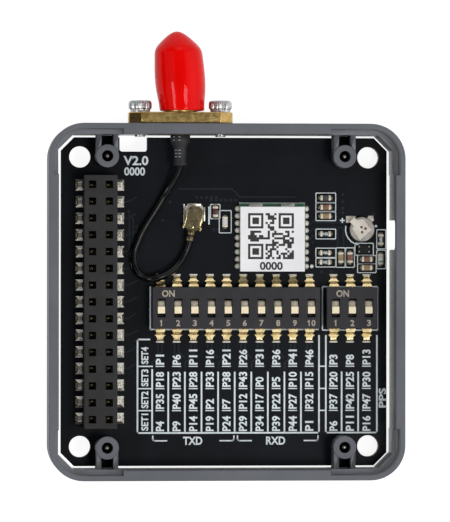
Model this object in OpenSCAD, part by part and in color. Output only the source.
// Stackable satellite positioning module: a populated circuit board in a square plastic frame.
// Millimetres. +X is right, +Y points along the antenna jack, +Z is up.
// The origin is the centre of the four stacking holes, on the underside of the board.

/* [Frame] */
// Outside width and length of the square frame
frame_w = 54; // [53:0.5:58]
// Height of the frame wall
frame_h = 8.4; // [8:0.1:11]
// Outside radius of the frame's corners
frame_corner_r = 5.3; // [5:0.1:6]
// Thickness of the left and right walls
side_wall = 1.5; // [1.3:0.05:1.9]
// Thickness of the front and rear walls
end_wall = 1.65; // [1.6:0.05:2.2]
// Width of the outer lip beside the corner steps
lip_w = 0.86; // [0.7:0.02:1]
// Depth of the corner steps below the rim
step_depth = 2.8; // [2:0.1:3.6]
// Length of a corner step along X, from the outside corner
step_leg_x = 11.2; // [10:0.1:13]
// Length of a corner step along Y, from the outside corner
step_leg_y = 7.7; // [6.5:0.1:9]
// Height of the register tabs under the corners
tab_h = 0.9; // [0.5:0.1:1.2]
// Play of a register tab in the corner step of the next frame
tab_play = 0.1; // [0.05:0.01:0.2]
// Width of the cable slot in the right wall
slot_w = 4.5; // [3:0.1:6]
// Distance of the cable slot's centre from the middle of the wall
slot_y = 10.2; // [6:0.1:12]
// Height of the cable slot
slot_h = 7.2; // [4:0.1:7.4]
// Radius of the cable slot's upper corners
slot_r = 0.8; // [0.3:0.1:1.2]

/* [Screw bosses] */
// Distance of the bosses from the outside of the side walls
boss_inset_x = 8.95; // [8.5:0.05:10]
// Distance of the bosses from the outside of the end walls
boss_inset_y = 4.9; // [4.8:0.01:5.4]
// Outside diameter of a boss
boss_d = 3.5; // [3.2:0.1:4]
// Depth of the bosses' upper ends below the rim
boss_drop = 2.6; // [2:0.1:3.4]
// Pilot hole in a boss
boss_pilot_d = 1.7; // [1.4:0.05:2]
// Width of each of the two ribs between a boss and the wall
rib_w = 0.75; // [0.7:0.05:1]
// Distance over the outsides of the two ribs
rib_span = 3.3; // [2.8:0.1:3.4]
// Drop of the ribs below the corner steps
rib_drop = 0.15; // [0.1:0.05:0.6]

/* [Circuit board] */
// Thickness of the circuit board
board_t = 1.2; // [1:0.1:1.6]
// Gap between the board and the side walls
board_gap_side = 0.57; // [0.2:0.01:0.7]
// Gap between the board and the end walls
board_gap_end = 0.32; // [0.2:0.01:0.5]
// Chamfer at the board's corners
board_chamfer = 2; // [1.6:0.1:2.6]
// Gap between the chamfered corners of board and frame
chamfer_gap = 0.4; // [0.2:0.05:0.5]
// Distance of the stacking holes from the outside of the frame
stack_inset = 4.95; // [4.8:0.05:5.4]
// Diameter of a stacking hole
stack_hole_d = 3.25; // [3.1:0.05:3.4]
// Width of the notch in the rear edge
notch_w = 4.2; // [3:0.1:5]
// Depth of the notch in the rear edge
notch_depth = 2.15; // [1:0.05:2.5]
// Distance of the notch's middle from the boss beside it
notch_from_boss = 4.15; // [4:0.05:4.5]
// Radius of the notch's inner corners
notch_r = 0.4; // [0.2:0.1:0.8]
// Width of the tongues at the board's edges, under the ribs of the bosses
tongue_w = 2.8; // [2:0.1:3]
// Play of a tongue before the wall
tongue_play = 0.05; // [0.03:0.01:0.1]

/* [Board screws] */
// Shank diameter of a board screw
screw_d = 1.64; // [1.3:0.02:1.66]
// Head diameter
screw_head_d = 3.2; // [2.8:0.1:3.6]
// Head height
screw_head_h = 0.9; // [0.7:0.05:1]
// Length of the shank under the head
screw_l = 5; // [4:0.1:5.2]
// Clearance on the shank in the board's screw holes
screw_play = 0.15; // [0.1:0.05:0.3]
// Length of the screw's point
screw_tip = 0.8; // [0.5:0.1:1]
// Length of the arms of the cross recess
recess_l = 1.9; // [1.4:0.1:2.2]
// Width of those arms
recess_w = 0.45; // [0.3:0.05:0.6]
// Depth of the cross recess
recess_depth = 0.45; // [0.3:0.05:0.6]

/* [Bus connectors] */
// Pitch of the contacts
bus_pitch = 2.54; // [2.5:0.02:2.56]
// Least room between the ends of the socket and the bosses
bus_room = 0.9; // [0.5:0.05:0.9]
// Share of the board's spare width that lies left of the bus connectors
bus_margin_share = 0.27; // [0.2:0.005:0.3]
// Width of the socket housing
socket_w = 5.04; // [4.9:0.02:5.2]
// Material beyond the last contact at each end of the housing
socket_end = 1.42; // [1.2:0.02:1.5]
// Height of the socket above the board
socket_h = 5; // [4.4:0.1:6.5]
// Side of the square pin openings
opening_w = 1.1; // [1:0.05:1.2]
// Height of the feet under the connector bodies
foot_h = 0.3; // [0.25:0.05:0.5]
// Sheet thickness of the contacts and their tails
contact_t = 0.2; // [0.12:0.01:0.22]
// Play of a contact in its opening
contact_play = 0.05; // [0.02:0.01:0.08]
// Width of a contact and of its tail
contact_w = 0.8; // [0.6:0.05:1]
// Reach of the solder tails from the connector's middle
tail_reach = 3.6; // [3.4:0.05:3.8]
// Side of a square bus pin
pin_w = 0.64; // [0.5:0.02:0.64]
// Play of a pin in the strip
pin_play = 0.01; // [0.01:0.01:0.03]
// Height of the pin strip's body
strip_h = 2.2; // [1.8:0.1:2.5]
// Depth of the pin tips under the board
pin_reach = 4.6; // [4:0.1:5.5]
// Length of the taper at a pin's tip
pin_taper = 0.5; // [0.3:0.1:0.8]
// Width left at a pin's tip
pin_tip_w = 0.3; // [0.2:0.02:0.4]

/* [Antenna jack] */
// Distance of the jack's axis from the boss on its left
jack_from_boss = 11.1; // [10.8:0.05:12]
// Height of the jack's axis over the board's underside
jack_z = 4.2; // [3.9:0.1:4.6]
// Width of the flange
flange_w = 15.8; // [15:0.1:17]
// Height of the flange
flange_h = 5.7; // [5.2:0.1:6]
// Thickness of the flange
flange_t = 1.75; // [1.4:0.05:2]
// Chamfer at the flange's corners
flange_chamfer = 1.9; // [1:0.1:2.2]
// Spacing of the flange screws
flange_screw_dx = 12.2; // [11.8:0.1:12.6]
// Diameter of the barrel
barrel_d = 5.9; // [5.6:0.05:6]
// Length of the barrel from the flange
barrel_l = 7.5; // [6:0.1:8.5]
// Diameter of the relief groove behind the thread
relief_d = 5.3; // [5:0.1:5.5]
// Length of the relief groove
relief_l = 1.5; // [1:0.1:2]
// Bore of the barrel
barrel_bore_d = 4.1; // [3.8:0.05:4.3]
// Thickness of the web behind the insulator
web_t = 0.6; // [0.4:0.05:0.9]
// Depth of the mouth in front of the insulator
mouth_depth = 1.9; // [1.5:0.1:2.5]
// Diameter of the stub through the wall
stub_d = 3.8; // [3.4:0.05:4]
// Play of the stub in the wall
stub_play = 0.05; // [0.03:0.01:0.1]
// Diameter of the ferrule behind the wall
ferrule_d = 1.6; // [1.55:0.05:1.7]
// Length of the ferrule behind the wall
ferrule_l = 2.3; // [1.6:0.1:2.4]
// Bore of the ferrule
ferrule_bore_d = 1.2; // [1.2:0.05:1.3]
// Play of the insulator and contact in their seats
seat_play = 0.02; // [0.01:0.01:0.04]
// Diameter of the centre contact
centre_d = 1.27; // [1.1:0.01:1.3]
// Bore at the front of the centre contact
centre_bore_d = 0.94; // [0.8:0.02:1]
// Depth of that bore
centre_bore_depth = 2.8; // [2:0.1:3]
// Shank diameter of a flange screw
flange_screw_d = 1.6; // [1.4:0.05:1.8]
// Play of the flange screws in their holes
flange_screw_play = 0.05; // [0.02:0.01:0.1]
// Head diameter of a flange screw
flange_head_d = 3.4; // [3:0.1:3.5]
// Head height of a flange screw
flange_head_h = 1.8; // [1.4:0.05:2]
// Hexagon socket across its corners
hex_d = 1.7; // [1.4:0.1:2]
// How far the flange screws stand out behind the wall
flange_screw_out = 0.3; // [0.1:0.1:0.6]

/* [Dust cap] */
// Length of the cap
cap_l = 12; // [11:0.1:14]
// Gap between the cap's foot and the flange
cap_gap = 0.35; // [0.2:0.05:0.6]
// Diameter of the cap at its foot
cap_foot_d = 6.7; // [6.5:0.05:7]
// Largest diameter of the cap
cap_d = 7.5; // [7.2:0.1:8]
// Diameter at the shoulder
cap_shoulder_d = 7; // [6.8:0.1:7.2]
// Diameter of the rounded end
cap_end_d = 2.6; // [1.6:0.1:3]
// Length of the narrow foot
cap_foot_l = 1; // [0.5:0.1:1.5]
// Distance from the foot to the start of the widest part
cap_bulge_at = 3.2; // [2.4:0.1:3.6]
// Length of the widest part
cap_bulge_l = 3.2; // [2.5:0.1:3.6]
// Length from the shoulder to the tip
cap_cone_l = 2.9; // [2.6:0.1:3.4]
// Length of the rounded end
cap_end_l = 0.6; // [0.4:0.1:0.9]
// Play of the cap over the barrel
cap_play = 0.05; // [0.03:0.01:0.1]
// Lean of the soft cap's outside to the left, in degrees
cap_lean = 2.5; // [0:0.5:2.5]

/* [Antenna lead] */
// Diameter of the coaxial lead
lead_d = 1.13; // [1:0.01:1.18]
// Diameter of the shrink sleeve at the wall
sleeve_d = 3.05; // [2.8:0.05:3.3]
// Length of the sleeve's wide part at the wall
sleeve_wide_l = 1; // [0.6:0.1:1.2]
// Length over which the sleeve draws in
sleeve_cone_l = 1; // [0.6:0.1:1.2]
// Diameter of the sleeve at its free end
sleeve_end_d = 2.05; // [2:0.05:2.4]
// Length of the sleeve
sleeve_l = 4.65; // [4.2:0.05:4.7]
// Play of the ferrule in the sleeve
sleeve_play = 0.04; // [0.02:0.01:0.06]
// Play of the lead in the sleeve
lead_play = 0.15; // [0.12:0.01:0.16]
// Distance of the receptacle from the board's right edge
coax_from_edge = 29.53; // [29:0.01:30]
// Place of the receptacle along Y
coax_y = 13.35; // [13:0.05:13.7]
// Turn of the plug on its receptacle, in degrees
plug_turn = -11.3; // [-13:0.1:-9]
// Width of the plug's head
plug_w = 2.5; // [2.4:0.05:2.7]
// Length of the plug's head behind its axis
plug_back = 2.3; // [2:0.05:2.5]
// Width of the crimp
crimp_w = 1.5; // [1.4:0.05:1.6]
// Length of the crimp
crimp_l = 1.9; // [1.6:0.05:2.1]
// Sheet thickness of the plug
plug_t = 0.22; // [0.16:0.02:0.26]
// Width of the receptacle's base
receptacle_w = 2.6; // [2.4:0.05:2.8]
// Height of the receptacle's base
receptacle_h = 0.35; // [0.25:0.05:0.4]
// Sheet thickness of the receptacle's strap and ears
strap_t = 0.12; // [0.08:0.01:0.16]
// Reach of the ears beyond the base
ear_w = 0.35; // [0.25:0.05:0.5]
// Length of the ears
ear_l = 2.1; // [1.6:0.1:2.4]
// Outside diameter of the receptacle's ring
ring_d = 2; // [1.8:0.02:2.1]
// Wall of the receptacle's ring
ring_wall = 0.2; // [0.15:0.01:0.25]
// Height of the ring over the base
ring_h = 0.65; // [0.5:0.05:0.7]
// Play of the plug on the ring
plug_play = 0.03; // [0.02:0.01:0.05]

/* [Slide switches] */
// Pitch of the switch positions
switch_pitch = 2.54; // [2.5:0.02:2.6]
// Positions of the long switch
ten_count = 10; // [10:1:10]
// Positions of the short switch
three_count = 3; // [3:1:3]
// Gap between the two switches
switch_gap = 1.03; // [0.8:0.01:1.2]
// Share of the board's spare width that lies right of the switches
switch_margin_share = 0.21; // [0.2:0.005:0.3]
// Centre of both switches along Y
switch_y = -0.93; // [-1.2:0.05:-0.8]
// Depth of a switch body along Y
switch_l = 6.3; // [6:0.1:6.6]
// Material beyond the last position's middle
switch_end = 1.34; // [1.2:0.02:1.38]
// Height of a switch over the board
switch_h = 3.4; // [3.2:0.05:4]
// Height of the cover
cover_h = 1.2; // [1.1:0.05:1.4]
// Setback of the base under the cover
base_setback = 0.1; // [0.05:0.05:0.2]
// Gap between the base and the board
base_lift = 0.1; // [0.05:0.05:0.2]
// Width of the slots in the cover
switch_slot_w = 1.26; // [1.2:0.02:1.3]
// Length of those slots
switch_slot_l = 2.8; // [2.7:0.05:3]
// Width of a slider's knob
knob_w = 1.1; // [0.9:0.02:1.14]
// Length of a slider's knob
knob_l = 1.05; // [0.9:0.05:1.1]
// Height of the knob over the cover
knob_proud = 0.1; // [0:0.05:0.3]
// Place of the knob at rest, from the middle of the slot
knob_rest = -0.3; // [-0.4:0.05:-0.3]
// Travel of a slider from rest to ON
slider_travel = 1; // [0.8:0.05:1.1]
// Length of the low shelf on the ON side of the knob
shelf_l = 0.93; // [0.6:0.05:1]
// Step from the knob's top down to the shelf
shelf_drop = 0.6; // [0.45:0.05:0.6]
// Length of the slider's foot before the knob's middle
slider_back = 0.6; // [0.6:0.05:0.9]
// Length of the slider's foot beyond the knob's middle
slider_ahead = 1.55; // [1.5:0.05:1.6]
// Width of the slider's foot
slider_foot_w = 1.5; // [1.4:0.05:1.6]
// Height of the slider's foot
slider_foot_h = 0.75; // [0.6:0.05:0.8]
// Running play of a slider
slider_play = 0.05; // [0.03:0.01:0.08]
// Width of the contact groove under a slider
groove_contact_w = 1; // [0.9:0.05:1.1]
// Depth of the contact groove
groove_contact_h = 0.4; // [0.38:0.01:0.5]
// Width of the inner blades
blade_w = 0.8; // [0.6:0.05:0.9]
// Sheet thickness of leads and wipers
switch_sheet_t = 0.15; // [0.1:0.01:0.16]
// Reach of the leads from the middle of the switch
switch_lead_reach = 5.27; // [5.1:0.01:5.4]
// Width of the leads beside the body
switch_lead_w = 1.5; // [1.2:0.05:1.6]
// Width of the lead feet
switch_foot_w = 1.2; // [1:0.05:1.3]
// Length of the lead feet
switch_foot_l = 1.35; // [1.1:0.05:1.5]
// Run of a lead's sloping part
switch_lead_run = 0.4; // [0.3:0.05:0.5]
// Distance from the middle to the inner end of a blade
blade_in = 1.4; // [1.2:0.05:1.6]

/* [Receiver] */
// Distance of the receiver's middle from the board's right edge
receiver_from_edge = 17.63; // [17.5:0.01:18]
// Centre of the receiver along Y
receiver_y = 9.8; // [9.7:0.05:10]
// Width of the receiver's board along X
receiver_w = 10.1; // [10:0.1:10.4]
// Length of the receiver's board along Y
receiver_l = 10.4; // [10.4:0.1:10.6]
// Thickness of the receiver's board
receiver_t = 0.8; // [0.6:0.05:1]
// Setback of the shield from the sides of its board
shield_setback = 0.1; // [0.1:0.05:0.2]
// Shift of the shield from the middle of its board to the left
shield_shift_x = 0.1; // [0:0.05:0.1]
// Shift of the shield from the middle of its board to the front
shield_shift_y = 0.25; // [0:0.05:0.25]
// Height of the shield
shield_h = 1.5; // [1.3:0.05:1.8]
// Sheet thickness of the shield
shield_t = 0.15; // [0.1:0.01:0.2]
// Width of each tab at the shield's rear edge
shield_tab_w = 2.1; // [1.6:0.1:2.4]
// Distance between the middles of those tabs
shield_tab_dx = 4.9; // [4.4:0.1:5.4]
// Thickness of the label
label_t = 0.1; // [0.05:0.01:0.15]
// Setback of the label from the shield's edge
label_inset = 0.02; // [0.02:0.01:0.2]
// Terminals on each side
terminal_count = 9; // [6:1:9]
// Pitch of the terminals
terminal_pitch = 1.1; // [1:0.02:1.12]
// Width of a terminal
terminal_w = 0.8; // [0.6:0.05:0.9]
// Reach of a terminal beyond the receiver's board
terminal_reach = 0.55; // [0.3:0.05:0.7]
// Height of a terminal
terminal_h = 0.5; // [0.3:0.05:0.6]
// Side of the receiver chip
receiver_chip_w = 5; // [4:0.1:6]
// Height of the receiver chip
receiver_chip_h = 0.9; // [0.7:0.05:1]
// Length of the clock crystal
crystal_l = 2; // [1.6:0.1:2.5]
// Width of the clock crystal
crystal_w = 1.6; // [1.2:0.1:2]
// Height of the clock crystal
crystal_h = 0.7; // [0.5:0.05:0.9]
// Length of the input filter
filter_l = 1.4; // [1.1:0.1:1.8]
// Width of the input filter
filter_w = 1.1; // [0.9:0.1:1.4]
// Height of the input filter
filter_h = 0.6; // [0.4:0.05:0.8]
// Room between the receiver chip and the small pieces beside it
chip_room = 0.4; // [0.2:0.05:0.6]

/* [Backup cell] */
// Diameter of the cell
cell_d = 3.8; // [3.6:0.1:4]
// Height of the cell
cell_h = 1.1; // [0.9:0.1:1.4]
// Distance of the cell from the board's right edge
cell_from_edge = 3.9; // [3.8:0.01:4.1]
// Place of the cell along Y
cell_y = 11.08; // [11:0.01:11.2]
// Sheet thickness of the tabs
tab_t = 0.15; // [0.1:0.01:0.2]
// Width of the upper tab's leg
upper_tab_w = 1; // [0.8:0.05:1.4]
// Direction of the upper tab's foot, in degrees from +X
upper_tab_angle = 137; // [130:1:145]
// Direction of the lower tab's foot, in degrees from +X
lower_tab_angle = 48; // [40:1:55]
// Width of the lower tab
lower_tab_w = 1; // [0.8:0.05:1.2]
// Reach of the tabs' feet from the cell's middle
tab_reach = 2.45; // [2.4:0.05:2.6]
// Gap between the cell and the upright of its upper tab
tab_gap = 0.15; // [0.1:0.05:0.3]

/* [Chip parts] */
// Length of a chip part
chip_l = 1.6; // [1.5:0.02:1.7]
// Width of a chip part
chip_w = 0.8; // [0.7:0.02:0.85]
// Height of a chip resistor
resistor_h = 0.45; // [0.35:0.05:0.55]
// Height of a chip capacitor
capacitor_h = 0.8; // [0.5:0.05:0.9]
// Height of a chip inductor
inductor_h = 0.6; // [0.5:0.05:0.8]
// Length of the metal end caps
end_cap_l = 0.35; // [0.25:0.01:0.4]
// Height of the status lamp
lamp_h = 0.6; // [0.5:0.05:0.8]
// Length of the load switch
load_switch_l = 1.9; // [1.6:0.05:2]
// Width of the load switch
load_switch_w = 1.2; // [1:0.05:1.3]
// Height of the load switch
load_switch_h = 0.55; // [0.4:0.05:0.8]

/* [Hidden] */

// Width of a switch with so many positions
function switch_w(count) = (count - 1) * switch_pitch + 2 * switch_end;

// Overlap that lets a cut pass clear of a face
cut = 1;
// Sides of round shapes
$fn = 48;

// Frame and board, seen from above
inner_w = frame_w - 2 * side_wall;
inner_l = frame_w - 2 * end_wall;
board_w = inner_w - 2 * board_gap_side;
board_l = inner_l - 2 * board_gap_end;
top = board_t;
frame_chamfer = board_chamfer + board_gap_side + board_gap_end - chamfer_gap * sqrt(2);
step_floor = frame_h - step_depth;
boss_top = frame_h - boss_drop;
rib_top = step_floor - rib_drop;
rear = frame_w / 2;
wall_inside = rear - end_wall;
board_screw_hole_d = screw_d + 2 * screw_play;
stack_spacing = frame_w - 2 * stack_inset;
boss_dx = frame_w - 2 * boss_inset_x;
boss_dy = frame_w - 2 * boss_inset_y;
notch_x = notch_from_boss - boss_dx / 2;
right_edge = board_w / 2;

// Bus connectors
bus_space = boss_dy - boss_d - 2 * bus_room;
bus_count = 1 + floor((bus_space - 2 * socket_end) / bus_pitch);
bus_span = (bus_count - 1) * bus_pitch;
socket_l = bus_span + 2 * socket_end;
leaf_gap = pin_w + 2 * pin_play;

// Spare width of the board, shared out beside the bus connectors and the switches
ten_w = switch_w(ten_count);
three_w = switch_w(three_count);
spare_w = board_w - 2 * tail_reach - ten_w - switch_gap - three_w;
bus_x = tail_reach + spare_w * bus_margin_share - right_edge;
three_x = right_edge - spare_w * switch_margin_share - three_w / 2;
ten_x = three_x - three_w / 2 - switch_gap - ten_w / 2;

// Antenna jack, measured along Y
jack_x = jack_from_boss - boss_dx / 2;
flange_front = rear + flange_t;
barrel_front = flange_front + barrel_l;
ferrule_rear = wall_inside - ferrule_l;
seat_y = rear + web_t;
insulator_front = barrel_front - mouth_depth;
sleeve_rear = wall_inside - sleeve_l;
cap_foot = flange_front + cap_gap;
cap_bore_d = barrel_d + 2 * cap_play;
cap_bore_end = barrel_front + cap_gap;
cap_tip = cap_foot + cap_l;

// Slide switches, heights over the board's underside
cover_bottom = top + switch_h - cover_h;
cover_top = top + switch_h;
knob_top = cover_top + knob_proud;
shelf_top = knob_top - shelf_drop;
slider_foot_top = cover_bottom - slider_play;
slider_foot_bottom = slider_foot_top - slider_foot_h;
ledge_z = slider_foot_bottom - slider_play;
contact_floor = ledge_z - groove_contact_h;

// Pieces that keep their distance from the board's right edge
coax_x = right_edge - coax_from_edge;
receiver_x = right_edge - receiver_from_edge;
cell_x = right_edge - cell_from_edge;

// Corners of the plate on the cell's upper face, as shares of the cell's radius
plate_corners = [[-0.82, 0.03], [-0.45, 0.76], [0.1, 0.84], [0.74, -0.06], [-0.19, -0.9]];

// Receiver, heights over the board's underside
receiver_top = top + receiver_t;
shield_top = receiver_top + shield_h;
shield_w = receiver_w - 2 * shield_setback;

// Backup cell, heights over the board's underside
cell_bottom = top + tab_t;
cell_top = cell_bottom + cell_h;

// Chip parts: distance from the board's right edge, place along Y, and turn
resistor_places = [[9.43, 10.37, 0], [9.47, 7.5, 0], [9.47, 6.06, 0], [0.93, 9.53, 90]];
capacitor_places = [
  [9.43, 14.44, 0], [9.43, 13.09, 0], [7.09, 6.77, 90], [5.68, 6.77, 90],
  [3.08, 6.5, 0], [3.08, 5.2, 0]
];
inductor_places = [[9.43, 15.87, 0], [24.84, 12.19, 90], [26.3, 13.76, 90]];
lamp_place = [0.93, 6.5, 90];
load_switch_place = [3.51, 8.04, 0];

// Route of the antenna lead from the sleeve to the plug, chosen by hand
lead_route = [
  [-6.95, 22.2, 4.2], [-6.95, 21, 4.2], [-7.2, 19.8, 3.7], [-8, 18.2, 2.7], [-9, 16.6, 2],
  [-10.4, 14.2, 1.8], [-11.8, 12, 1.8], [-13.1, 9.5, 1.8], [-13.9, 6.6, 1.8],
  [-13.4, 4.8, 2], [-12.4, 3.8, 2.4], [-11.1, 3.5, 3], [-9.8, 3.8, 3.1], [-8.3, 4.6, 2.8],
  [-7, 5.9, 2.3], [-6.1, 7.3, 2.1], [-5.55, 8.6, 2.1], [-5.2, 10.35, 2.1]
];
lead_sides = 8;
lead_steps = 3;

// Box between two corners
module block(a, b) {
  translate(a) cube(b - a);
}

// Upright plate centred on the axis, from z0 to z1
module plate(w, l, z0, z1) {
  translate([-w / 2, -l / 2, z0]) cube([w, l, z1 - z0]);
}

// Rectangle with round corners, from z0 to z1
module rounded_plate(w, l, r, z0, z1) {
  plate(w - 2 * r, l, z0, z1);
  plate(w, l - 2 * r, z0, z1);
  for (sx = [-1, 1], sy = [-1, 1])
    translate([sx * (w / 2 - r), sy * (l / 2 - r), z0]) cylinder(d = 2 * r, h = z1 - z0);
}

// Rectangle with chamfered corners, from z0 to z1
module chamfered_plate(w, l, c, z0, z1) {
  x = w / 2;
  y = l / 2;
  translate([0, 0, z0]) linear_extrude(z1 - z0) polygon([
    [x, y - c], [x - c, y], [c - x, y], [-x, y - c], [-x, c - y], [c - x, -y], [x - c, -y], [x, c - y]
  ]);
}

// Puts children at the four places that share two spacings
module at_corners(dx, dy) {
  for (sx = [-1, 1], sy = [-1, 1]) translate([sx * dx / 2, sy * dy / 2, 0]) children();
}

// Space at the four corners of the frame within two leg lengths
module corner_space(leg_x, leg_y, z0, z1) {
  for (sx = [-1, 1], sy = [-1, 1]) {
    x = rear - leg_x;
    y = rear - leg_y;
    mirror([sx < 0 ? 1 : 0, 0, 0]) mirror([0, sy < 0 ? 1 : 0, 0])
      block([x, y, z0], [rear, rear, z1]);
  }
}

// Puts a child on the jack's axis, with its own Z along +Y
module on_jack(y) {
  translate([jack_x, y, jack_z]) rotate([-90, 0, 0]) children();
}

// Places of the 30 bus contacts, with the side they face
module at_bus() {
  for (side = [-1, 1], i = [0 : bus_count - 1])
    translate([bus_x + side * bus_pitch / 2, i * bus_pitch - bus_span / 2, 0])
      mirror([side < 0 ? 1 : 0, 0, 0]) children();
}

// Inside of the corner steps' lip
module lip_space(play, z0, z1) {
  inset = lip_w + play;
  rounded_plate(frame_w - 2 * inset, frame_w - 2 * inset, frame_corner_r - inset, z0, z1);
}

module register_tabs() {
  difference() {
    intersection() {
      lip_space(tab_play, -tab_h, 0);
      corner_space(step_leg_x - tab_play, step_leg_y - tab_play, -tab_h, 0);
    }
    chamfered_plate(inner_w, inner_l, frame_chamfer, -tab_h - cut, cut);
  }
}

module corner_steps() {
  intersection() {
    lip_space(0, step_floor, frame_h + cut);
    corner_space(step_leg_x, step_leg_y, step_floor, frame_h + cut);
  }
}

module ribs() {
  rib_x = (rib_span - rib_w) / 2;
  for (sx = [-1, 1], sy = [-1, 1], side = [-1, 1])
    mirror([0, sy < 0 ? 1 : 0, 0])
      translate([sx * boss_dx / 2 + side * rib_x, 0, 0])
        block([-rib_w / 2, boss_dy / 2, top], [rib_w / 2, wall_inside + end_wall / 2, rib_top]);
}

module bosses() {
  difference() {
    union() {
      at_corners(boss_dx, boss_dy)
        translate([0, 0, top]) cylinder(d = boss_d, h = boss_top - top);
      ribs();
    }
    at_corners(boss_dx, boss_dy)
      translate([0, 0, top - cut]) cylinder(d = boss_pilot_d, h = frame_h);
  }
}

module cable_slot() {
  translate([frame_w / 2 - side_wall / 2, slot_y, 0]) rotate([90, 0, 90]) {
    plate(slot_w, 2 * (slot_h - slot_r), -side_wall, side_wall);
    plate(slot_w - 2 * slot_r, 2 * slot_h, -side_wall, side_wall);
    for (s = [-1, 1])
      translate([s * (slot_w / 2 - slot_r), slot_h - slot_r, -side_wall])
        cylinder(d = 2 * slot_r, h = 2 * side_wall);
  }
}

module frame() {
  color("#676a6f") union() {
    difference() {
      union() {
        difference() {
          rounded_plate(frame_w, frame_w, frame_corner_r, 0, frame_h);
          chamfered_plate(inner_w, inner_l, frame_chamfer, -cut, frame_h + cut);
        }
        register_tabs();
      }
      corner_steps();
      cable_slot();
      on_jack(wall_inside - cut) cylinder(d = stub_d + 2 * stub_play, h = end_wall + 2 * cut);
      for (s = [-1, 1])
        translate([s * flange_screw_dx / 2, 0, 0]) on_jack(wall_inside - cut)
          cylinder(d = flange_screw_d + 2 * flange_screw_play, h = end_wall + 2 * cut);
    }
    bosses();
  }
}

module edge_notch() {
  translate([notch_x, board_l / 2, 0]) {
    block([-notch_w / 2, notch_r - notch_depth, -cut], [notch_w / 2, cut, top + cut]);
    block([notch_r - notch_w / 2, -notch_depth, -cut], [notch_w / 2 - notch_r, cut, top + cut]);
    for (s = [-1, 1])
      translate([s * (notch_w / 2 - notch_r), notch_r - notch_depth, -cut])
        cylinder(d = 2 * notch_r, h = top + 2 * cut);
  }
}

// Tongues that reach from the board's edges to the walls between the ribs
module edge_tongues() {
  reach = wall_inside - tongue_play;
  for (sx = [-1, 1]) translate([sx * boss_dx / 2, 0, 0]) plate(tongue_w, 2 * reach, 0, top);
}

module circuit_board() {
  color("#15171b") difference() {
    union() {
      chamfered_plate(board_w, board_l, board_chamfer, 0, top);
      edge_tongues();
    }
    at_corners(stack_spacing, stack_spacing)
      translate([0, 0, -cut]) cylinder(d = stack_hole_d, h = top + 2 * cut);
    at_corners(boss_dx, boss_dy)
      translate([0, 0, -cut]) cylinder(d = board_screw_hole_d, h = top + 2 * cut);
    edge_notch();
  }
}

module board_screws() {
  recess_top = recess_depth - screw_head_h;
  color("#b9bcc0") at_corners(boss_dx, boss_dy) {
    difference() {
      translate([0, 0, -screw_head_h]) cylinder(d = screw_head_d, h = screw_head_h);
      plate(recess_l, recess_w, -screw_head_h - cut, recess_top);
      plate(recess_w, recess_l, -screw_head_h - cut, recess_top);
    }
    cylinder(d = screw_d, h = screw_l - screw_tip);
    translate([0, 0, screw_l - screw_tip]) cylinder(d1 = screw_d, d2 = screw_tip / 2, h = screw_tip);
  }
}

module bus_socket_housing() {
  color("#2e2d2d") translate([bus_x, 0, 0]) {
    difference() {
      plate(socket_w, socket_l, top + foot_h, top + socket_h);
      translate([-bus_x, 0, 0]) at_bus() plate(opening_w, opening_w, top, top + socket_h + cut);
    }
    for (s = [-1, 1])
      translate([0, s * (socket_l - foot_h) / 2, 0]) plate(socket_w, foot_h, top, top + foot_h);
  }
}

module bus_socket_contacts() {
  spring_top = top + socket_h - contact_w;
  outer = opening_w / 2 - contact_play;
  color("#c9a75c") at_bus() {
    block([-outer, -contact_w / 2, top], [tail_reach - bus_pitch / 2, contact_w / 2, top + contact_t]);
    for (s = [0, 1])
      mirror([s, 0, 0])
        block([leaf_gap / 2, -contact_w / 2, top], [outer, contact_w / 2, spring_top]);
  }
}

module bus_pin_strip() {
  strip_top = -foot_h;
  color("#2e2d2d") translate([bus_x, 0, 0]) {
    difference() {
      plate(socket_w, socket_l, strip_top - strip_h, strip_top);
      translate([-bus_x, 0, 0]) at_bus() plate(leaf_gap, leaf_gap, -strip_h - 2 * cut, 0);
    }
    for (s = [-1, 1])
      translate([0, s * (socket_l - foot_h) / 2, 0]) plate(socket_w, foot_h, strip_top, 0);
  }
}

// Side view of a pin with its tapered tip, extruded to the pin's width
module pin_side() {
  half = pin_w / 2;
  rotate([90, 0, 0]) translate([0, 0, -half]) linear_extrude(pin_w) polygon([
    [-half, 0], [half, 0], [half, pin_taper - pin_reach], [pin_tip_w / 2, -pin_reach],
    [-pin_tip_w / 2, -pin_reach], [-half, pin_taper - pin_reach]
  ]);
}

module bus_pins() {
  color("#c9a75c") at_bus() {
    intersection() {
      pin_side();
      rotate(90) pin_side();
    }
    block([-pin_w / 2, -pin_w / 2, -contact_t], [tail_reach - bus_pitch / 2, pin_w / 2, 0]);
  }
}

module antenna_jack_shell() {
  w = flange_w / 2;
  h = flange_h / 2;
  c = flange_chamfer;
  color("#a8873f") difference() {
    union() {
      on_jack(rear) linear_extrude(flange_t) polygon([
        [w, h - c], [w - c, h], [c - w, h], [-w, h - c], [-w, c - h], [c - w, -h], [w - c, -h], [w, c - h]
      ]);
      on_jack(flange_front) cylinder(d = relief_d, h = relief_l);
      on_jack(flange_front + relief_l) cylinder(d = barrel_d, h = barrel_l - relief_l);
      on_jack(wall_inside) cylinder(d = stub_d, h = end_wall);
      on_jack(ferrule_rear) cylinder(d = ferrule_d, h = ferrule_l);
    }
    on_jack(seat_y) cylinder(d = barrel_bore_d, h = barrel_front - seat_y + cut);
    on_jack(ferrule_rear - cut) cylinder(d = ferrule_bore_d, h = ferrule_l + end_wall + 2 * cut);
    for (s = [-1, 1])
      translate([s * flange_screw_dx / 2, 0, 0]) on_jack(rear - cut)
        cylinder(d = flange_screw_d + 2 * flange_screw_play, h = flange_t + 2 * cut);
  }
}

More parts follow.
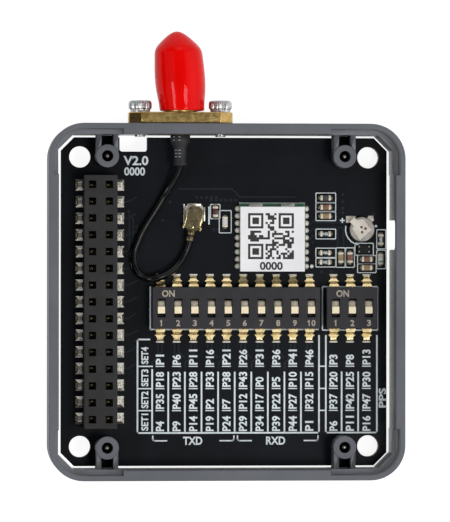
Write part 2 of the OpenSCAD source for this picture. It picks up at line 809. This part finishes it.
module antenna_jack_insulator() {
  insulator_l = insulator_front - seat_y;
  color("#eceae2") difference() {
    on_jack(seat_y) cylinder(d = barrel_bore_d - 2 * seat_play, h = insulator_l);
    on_jack(seat_y - cut) cylinder(d = centre_d + 2 * seat_play, h = insulator_l + 2 * cut);
  }
}

module antenna_jack_contact() {
  color("#d1ad57") difference() {
    union() {
      on_jack(seat_y) cylinder(d = centre_d, h = insulator_front - seat_y);
      on_jack(wall_inside) cylinder(d = centre_bore_d, h = seat_y - wall_inside);
    }
    on_jack(insulator_front - centre_bore_depth) cylinder(d = centre_bore_d, h = centre_bore_depth + cut);
  }
}

module flange_screws() {
  shank_l = flange_t + end_wall + flange_screw_out;
  color("#b9bcc0") for (s = [-1, 1])
    translate([s * flange_screw_dx / 2, 0, 0]) {
      on_jack(flange_front - shank_l) cylinder(d = flange_screw_d, h = shank_l);
      difference() {
        on_jack(flange_front) cylinder(d = flange_head_d, h = flange_head_h);
        on_jack(flange_front + flange_head_h / 2) cylinder(d = hex_d, h = flange_head_h, $fn = 6);
      }
    }
}

// Half outline of the cap's outside, from the foot to the tip
module cap_outline() {
  foot = cap_foot_d / 2;
  bulge = cap_d / 2;
  shoulder = cap_shoulder_d / 2;
  end = cap_end_d / 2;
  cone_at = cap_l - cap_cone_l;
  polygon([
    [0, 0], [foot, 0], [foot, cap_foot_l], [bulge, cap_bulge_at], [bulge, cap_bulge_at + cap_bulge_l],
    [shoulder, cone_at], [(shoulder + end) / 2 + cap_end_l, cone_at + (cap_cone_l - cap_end_l) / 2],
    [end, cap_l - cap_end_l], [end / 2, cap_l - cap_end_l / 4], [0, cap_l]
  ]);
}

module dust_cap() {
  color("#e8120e") difference() {
    on_jack(cap_foot) rotate([0, -cap_lean, 0]) rotate_extrude() cap_outline();
    on_jack(cap_foot - cut) cylinder(d = cap_bore_d, h = cap_bore_end - cap_foot + cut);
  }
}

module shrink_sleeve() {
  bore = lead_d + 2 * lead_play;
  ferrule_bore = ferrule_d + 2 * sleeve_play;
  wide_from = wall_inside - sleeve_wide_l;
  cone_from = wide_from - sleeve_cone_l;
  color("#141416") difference() {
    union() {
      on_jack(sleeve_rear) cylinder(d = sleeve_end_d, h = cone_from - sleeve_rear);
      on_jack(cone_from) cylinder(d1 = sleeve_end_d, d2 = sleeve_d, h = sleeve_cone_l);
      on_jack(wide_from) cylinder(d = sleeve_d, h = sleeve_wide_l);
    }
    on_jack(sleeve_rear - cut) cylinder(d = bore, h = sleeve_l + 2 * cut);
    on_jack(ferrule_rear) cylinder(d = ferrule_bore, h = ferrule_l + cut);
  }
}

// Point at a parameter on the smooth curve through the route
function route_point(i) = lead_route[max(0, min(len(lead_route) - 1, i))];
function spline(a, b, c, d, t) =
  0.5 * (2 * b + (c - a) * t + (2 * a - 5 * b + 4 * c - d) * t * t + (3 * b - a - 3 * c + d) * t * t * t);
function curve_point(k) =
  let (i = floor(k / lead_steps), t = (k % lead_steps) / lead_steps)
  spline(route_point(i - 1), route_point(i), route_point(i + 1), route_point(i + 2), t);
function unit(v) = v / norm(v);

module coax_lead() {
  rings = (len(lead_route) - 1) * lead_steps;
  path = [for (k = [0 : rings]) curve_point(k)];
  function along(k) = unit(path[min(rings, k + 1)] - path[max(0, k - 1)]);
  points = [
    for (k = [0 : rings], s = [0 : lead_sides - 1])
      let (f = along(k), side = unit(cross(f, [0, 0, 1])), up = cross(side, f), a = 360 * s / lead_sides)
      path[k] + lead_d / 2 * (cos(a) * side + sin(a) * up)
  ];
  walls = [
    for (k = [0 : rings - 1], s = [0 : lead_sides - 1])
      let (n = (s + 1) % lead_sides, a = k * lead_sides, b = a + lead_sides)
      each [[a + s, a + n, b + n], [a + s, b + n, b + s]]
  ];
  start = [for (s = [1 : lead_sides - 2]) [0, s + 1, s]];
  last = rings * lead_sides;
  finish = [for (s = [1 : lead_sides - 2]) [last, last + s, last + s + 1]];
  color("#1a1a1c") polyhedron(points, concat(walls, start, finish));
}

// Places a child on the receptacle, on the board
module on_receptacle() {
  translate([coax_x, coax_y, top]) children();
}

module coax_receptacle_base() {
  color("#d8d4c8") on_receptacle() difference() {
    plate(receptacle_w, receptacle_w, strap_t, receptacle_h);
    cylinder(d = ring_d, h = receptacle_h + cut);
  }
}

module coax_receptacle_shell() {
  reach = receptacle_w / 2;
  color("#c9c8c4") on_receptacle() {
    difference() {
      cylinder(d = ring_d, h = receptacle_h + ring_h);
      translate([0, 0, receptacle_h]) cylinder(d = ring_d - 2 * ring_wall, h = ring_h + cut);
    }
    for (s = [0, 1])
      mirror([s, 0, 0]) block([reach, -ear_l / 2, 0], [reach + ear_w, ear_l / 2, receptacle_h]);
    block([-ear_l / 2, reach, 0], [ear_l / 2, reach + ear_w, receptacle_h]);
    plate(receptacle_w, receptacle_w, 0, strap_t);
  }
}

module coax_plug() {
  skirt_bottom = receptacle_h + plug_t;
  plate_bottom = receptacle_h + ring_h + plug_play;
  plate_top = plate_bottom + plug_t;
  crimp_end = plug_back + crimp_l;
  lead_z = lead_route[len(lead_route) - 1][2] - top;
  crimp_bottom = lead_z - lead_d / 2 - plug_t;
  crimp_top = lead_z + lead_d / 2 + plug_t;
  color("#b39a5c") on_receptacle() rotate(plug_turn) difference() {
    union() {
      translate([0, 0, skirt_bottom]) cylinder(d = plug_w, h = plate_top - skirt_bottom);
      block([-plug_w / 2, -plug_back, plate_bottom], [plug_w / 2, 0, plate_top]);
      block([-crimp_w / 2, -crimp_end, crimp_bottom], [crimp_w / 2, -plug_back, crimp_top]);
    }
    translate([0, 0, -cut]) cylinder(d = ring_d + 2 * plug_play, h = plate_bottom + cut);
    translate([0, cut - plug_back, lead_z]) rotate([90, 0, 0])
      cylinder(d = lead_d + 2 * plug_play, h = crimp_l + 2 * cut);
  }
}

// Middle of one position of a switch
module at_position(x, count, i) {
  translate([x + (i - (count + 1) / 2) * switch_pitch, switch_y, 0]) children();
}

// Space in which one slider's foot runs, with the contact groove below it
module slider_well() {
  y0 = knob_rest - slider_back - slider_play;
  y1 = knob_rest + slider_ahead + slider_travel + slider_play;
  w = slider_foot_w / 2 + slider_play;
  block([-w, y0, ledge_z], [w, y1, cover_bottom + cut]);
  block([-groove_contact_w / 2, y0, contact_floor], [groove_contact_w / 2, y1, ledge_z + cut]);
}

// One lead and its inner blade, on the +Y side
module switch_lead() {
  out = switch_l / 2 - base_setback;
  foot_start = switch_lead_reach - switch_foot_l;
  slope_start = foot_start - switch_lead_run;
  t = switch_sheet_t;
  block([-blade_w / 2, blade_in, contact_floor], [blade_w / 2, out, contact_floor + t]);
  rotate([90, 0, 90]) translate([0, 0, -switch_lead_w / 2]) linear_extrude(switch_lead_w) polygon([
    [out, contact_floor], [slope_start, contact_floor], [foot_start, top], [foot_start + t, top],
    [foot_start + t, top + t], [slope_start + t, contact_floor + t], [out, contact_floor + t]
  ]);
  block([-switch_foot_w / 2, foot_start, top], [switch_foot_w / 2, switch_lead_reach, top + t]);
}

module switch_leads(x, count) {
  color("#b8975a") for (i = [1 : count], s = [0, 1])
    at_position(x, count, i) mirror([0, s, 0]) switch_lead();
}

module switch_base(x, count) {
  w = switch_w(count) - 2 * base_setback;
  l = switch_l - 2 * base_setback;
  color("#2f2f33") difference() {
    translate([x, switch_y, 0]) plate(w, l, top + base_lift, cover_bottom);
    for (i = [1 : count])
      at_position(x, count, i) {
        slider_well();
        plate(blade_w, 2 * l, contact_floor, contact_floor + switch_sheet_t);
      }
  }
}

module switch_cover(x, count) {
  w = switch_slot_w / 2;
  shelf_end = knob_rest + knob_l / 2 + shelf_l + slider_travel + 2 * slider_play;
  color("#35353a") difference() {
    translate([x, switch_y, 0]) plate(switch_w(count), switch_l, cover_bottom, cover_top);
    for (i = [1 : count])
      at_position(x, count, i) {
        plate(switch_slot_w, switch_slot_l, cover_bottom - cut, cover_top + cut);
        block([-w, 0, cover_bottom - cut], [w, shelf_end, shelf_top + slider_play]);
      }
  }
}

module switch_slider(x, count, i) {
  knob_front = knob_l / 2;
  shelf_r = (shelf_top - slider_foot_top) / 2;
  w = knob_w / 2;
  foot_w = slider_foot_w / 2;
  blade = blade_w / 2;
  color("#ede0c4") at_position(x, count, i) translate([0, knob_rest, 0]) {
    block([-foot_w, -slider_back, slider_foot_bottom], [foot_w, slider_ahead, slider_foot_top]);
    block([-w, -knob_l / 2, slider_foot_top], [w, knob_front, knob_top]);
    block([-w, knob_front, slider_foot_top], [w, knob_front + shelf_l - shelf_r, shelf_top]);
    translate([-w, knob_front + shelf_l - shelf_r, slider_foot_top + shelf_r]) rotate([0, 90, 0])
      cylinder(r = shelf_r, h = knob_w);
    block([-blade, -slider_back / 2, slider_foot_bottom - switch_sheet_t],
      [blade, slider_ahead / 2, slider_foot_bottom]);
  }
}

module ten_way_base() { switch_base(ten_x, ten_count); }
module ten_way_cover() { switch_cover(ten_x, ten_count); }
module ten_way_leads() { switch_leads(ten_x, ten_count); }
module ten_way_slider(i) { switch_slider(ten_x, ten_count, i); }
module three_way_base() { switch_base(three_x, three_count); }
module three_way_cover() { switch_cover(three_x, three_count); }
module three_way_leads() { switch_leads(three_x, three_count); }
module three_way_slider(i) { switch_slider(three_x, three_count, i); }

// Places a child on the middle of the receiver
module on_receiver() {
  translate([receiver_x, receiver_y, 0]) children();
}

// Places a child under or on the middle of the shield
module on_shield() {
  on_receiver() translate([-shield_shift_x, -shield_shift_y, 0]) children();
}

module receiver_board() {
  color("#1f5a3a") on_receiver() plate(receiver_w, receiver_l, top, receiver_top);
}

module receiver_shield() {
  inside = shield_w - 2 * shield_t;
  edge = shield_w / 2;
  rear_edge = receiver_l / 2 + shield_shift_y;
  color("#c9cacb") on_shield() {
    difference() {
      plate(shield_w, shield_w, receiver_top, shield_top);
      plate(inside, inside, receiver_top - cut, shield_top - shield_t);
    }
    for (s = [-1, 1])
      translate([s * shield_tab_dx / 2, 0, receiver_top])
        block([-shield_tab_w / 2, edge, 0], [shield_tab_w / 2, rear_edge, shield_t]);
  }
}

module receiver_label() {
  w = shield_w - 2 * label_inset;
  color("#f2f2f4") on_shield() plate(w, w, shield_top, shield_top + label_t);
}

module receiver_terminals() {
  span = (terminal_count - 1) * terminal_pitch;
  edge = receiver_w / 2;
  color("#c8c2ae") on_receiver() for (s = [0, 1], i = [0 : terminal_count - 1])
    mirror([s, 0, 0]) translate([0, i * terminal_pitch - span / 2, 0])
      block([edge, -terminal_w / 2, top], [edge + terminal_reach, terminal_w / 2, top + terminal_h]);
}

module receiver_chip() {
  color("#222326") on_shield()
    plate(receiver_chip_w, receiver_chip_w, receiver_top, receiver_top + receiver_chip_h);
}

// Places a child beside the receiver chip, on one side
module beside_chip(side, w) {
  on_shield() translate([0, side * (receiver_chip_w / 2 + chip_room + w / 2), 0]) children();
}

module receiver_crystal() {
  color("#bfae7a") beside_chip(1, crystal_w)
    plate(crystal_l, crystal_w, receiver_top, receiver_top + crystal_h);
}

module receiver_filter() {
  color("#d7d2c0") beside_chip(-1, filter_w)
    plate(filter_l, filter_w, receiver_top, receiver_top + filter_h);
}

module backup_cell() {
  color("#cfc8bd") translate([cell_x, cell_y, cell_bottom]) cylinder(d = cell_d, h = cell_h);
}

module cell_upper_tab() {
  w = upper_tab_w / 2;
  upright = cell_d / 2 + tab_gap;
  color("#d5cfc5") translate([cell_x, cell_y, 0]) {
    translate([0, 0, cell_top]) linear_extrude(tab_t) polygon(plate_corners * cell_d / 2);
    rotate(upper_tab_angle) {
      block([0, -w, cell_top], [upright, w, cell_top + tab_t]);
      block([upright, -w, top], [upright + tab_t, w, cell_top + tab_t]);
      block([upright + tab_t, -w, top], [tab_reach, w, top + tab_t]);
    }
  }
}

module cell_lower_tab() {
  w = lower_tab_w / 2;
  color("#d5cfc5") translate([cell_x, cell_y, 0]) rotate(lower_tab_angle)
    block([-w, -w, top], [tab_reach, w, cell_bottom]);
}

// Body of a chip part between its end caps
module chip_bodies(places, h) {
  for (p = places)
    translate([right_edge - p[0], p[1], 0]) rotate(p[2])
      plate(chip_l - 2 * end_cap_l, chip_w, top, top + h);
}

// Pairs of end caps at the ends of chip parts
module chip_ends(places, h) {
  at = (chip_l - end_cap_l) / 2;
  for (p = places, s = [-1, 1])
    translate([right_edge - p[0], p[1], 0]) rotate(p[2]) translate([s * at, 0, 0])
      plate(end_cap_l, chip_w, top, top + h);
}

module chip_resistors() { color("#3a3b40") chip_bodies(resistor_places, resistor_h); }
module chip_capacitors() { color("#9a7a55") chip_bodies(capacitor_places, capacitor_h); }
module chip_inductors() { color("#d9d9d6") chip_bodies(inductor_places, inductor_h); }

module chip_end_caps() {
  color("#c9c6bd") {
    chip_ends(resistor_places, resistor_h);
    chip_ends(capacitor_places, capacitor_h);
    chip_ends(inductor_places, inductor_h);
    chip_ends([lamp_place], resistor_h);
  }
}

module status_lamp() {
  color("#cfd6c4") chip_bodies([lamp_place], lamp_h);
}

module load_switch() {
  p = load_switch_place;
  color("#1c1c1f") translate([right_edge - p[0], p[1], 0])
    plate(load_switch_l, load_switch_w, top, top + load_switch_h);
}

frame();
circuit_board();
board_screws();
bus_socket_housing();
bus_socket_contacts();
bus_pin_strip();
bus_pins();
antenna_jack_shell();
antenna_jack_insulator();
antenna_jack_contact();
flange_screws();
dust_cap();
shrink_sleeve();
coax_lead();
coax_plug();
coax_receptacle_base();
coax_receptacle_shell();
ten_way_base();
ten_way_cover();
ten_way_leads();
ten_way_slider(1);  // ten_way_slider_1
ten_way_slider(2);  // ten_way_slider_2
ten_way_slider(3);  // ten_way_slider_3
ten_way_slider(4);  // ten_way_slider_4
ten_way_slider(5);  // ten_way_slider_5
ten_way_slider(6);  // ten_way_slider_6
ten_way_slider(7);  // ten_way_slider_7
ten_way_slider(8);  // ten_way_slider_8
ten_way_slider(9);  // ten_way_slider_9
ten_way_slider(10);  // ten_way_slider_10
three_way_base();
three_way_cover();
three_way_leads();
three_way_slider(1);  // three_way_slider_1
three_way_slider(2);  // three_way_slider_2
three_way_slider(3);  // three_way_slider_3
receiver_board();
receiver_shield();
receiver_label();
receiver_terminals();
receiver_chip();
receiver_crystal();
receiver_filter();
backup_cell();
cell_upper_tab();
cell_lower_tab();
chip_resistors();
chip_capacitors();
chip_inductors();
chip_end_caps();
status_lamp();
load_switch();
